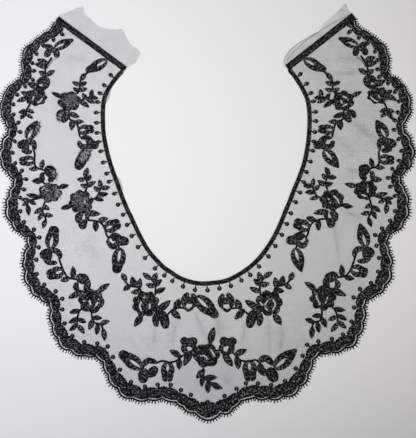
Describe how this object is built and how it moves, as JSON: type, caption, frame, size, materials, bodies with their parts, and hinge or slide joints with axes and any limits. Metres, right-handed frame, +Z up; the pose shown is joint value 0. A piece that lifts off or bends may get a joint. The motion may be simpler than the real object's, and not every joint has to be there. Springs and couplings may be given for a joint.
{
  "type": "lace collar",
  "caption": "Deep round yoke collar of black machine lace, laid flat: net ground with a scalloped and picot edge, corded neckline, end bars and flower sprays.",
  "frame": {"origin": "middle of the collar's footprint, on the surface it lies on", "axes": "+Z up out of the surface, +Y towards the open back ends, +X across to the right"},
  "size_m": [0.3744, 0.3704, 0.0025],
  "materials": {
    "net": "sheer matt black net that reads grey over a pale surface",
    "satin_cord": "black rayon satin stitch over a cord, soft sheen",
    "embroidery": "black rayon machine embroidery, soft sheen along the stitches"
  },
  "bodies": {
    "root": {"net_ground": "net", "scallop_border": "embroidery", "outer_cord": "satin_cord", "picot_edge": "embroidery", "neckline_cord": "satin_cord", "end_bar_left": "satin_cord", "end_bar_right": "satin_cord", "spray_back": "embroidery", "spray_outer_top_left": "embroidery", "spray_outer_top_right": "embroidery", "spray_outer_middle_left": "embroidery", "spray_outer_middle_right": "embroidery", "spray_outer_lower_left": "embroidery", "spray_outer_lower_right": "embroidery", "spray_inner_top_left": "embroidery", "spray_inner_top_right": "embroidery", "spray_inner_middle_left": "embroidery", "spray_inner_middle_right": "embroidery", "spray_inner_lower_left": "embroidery", "spray_inner_lower_right": "embroidery"}
  },
  "joints": []
}
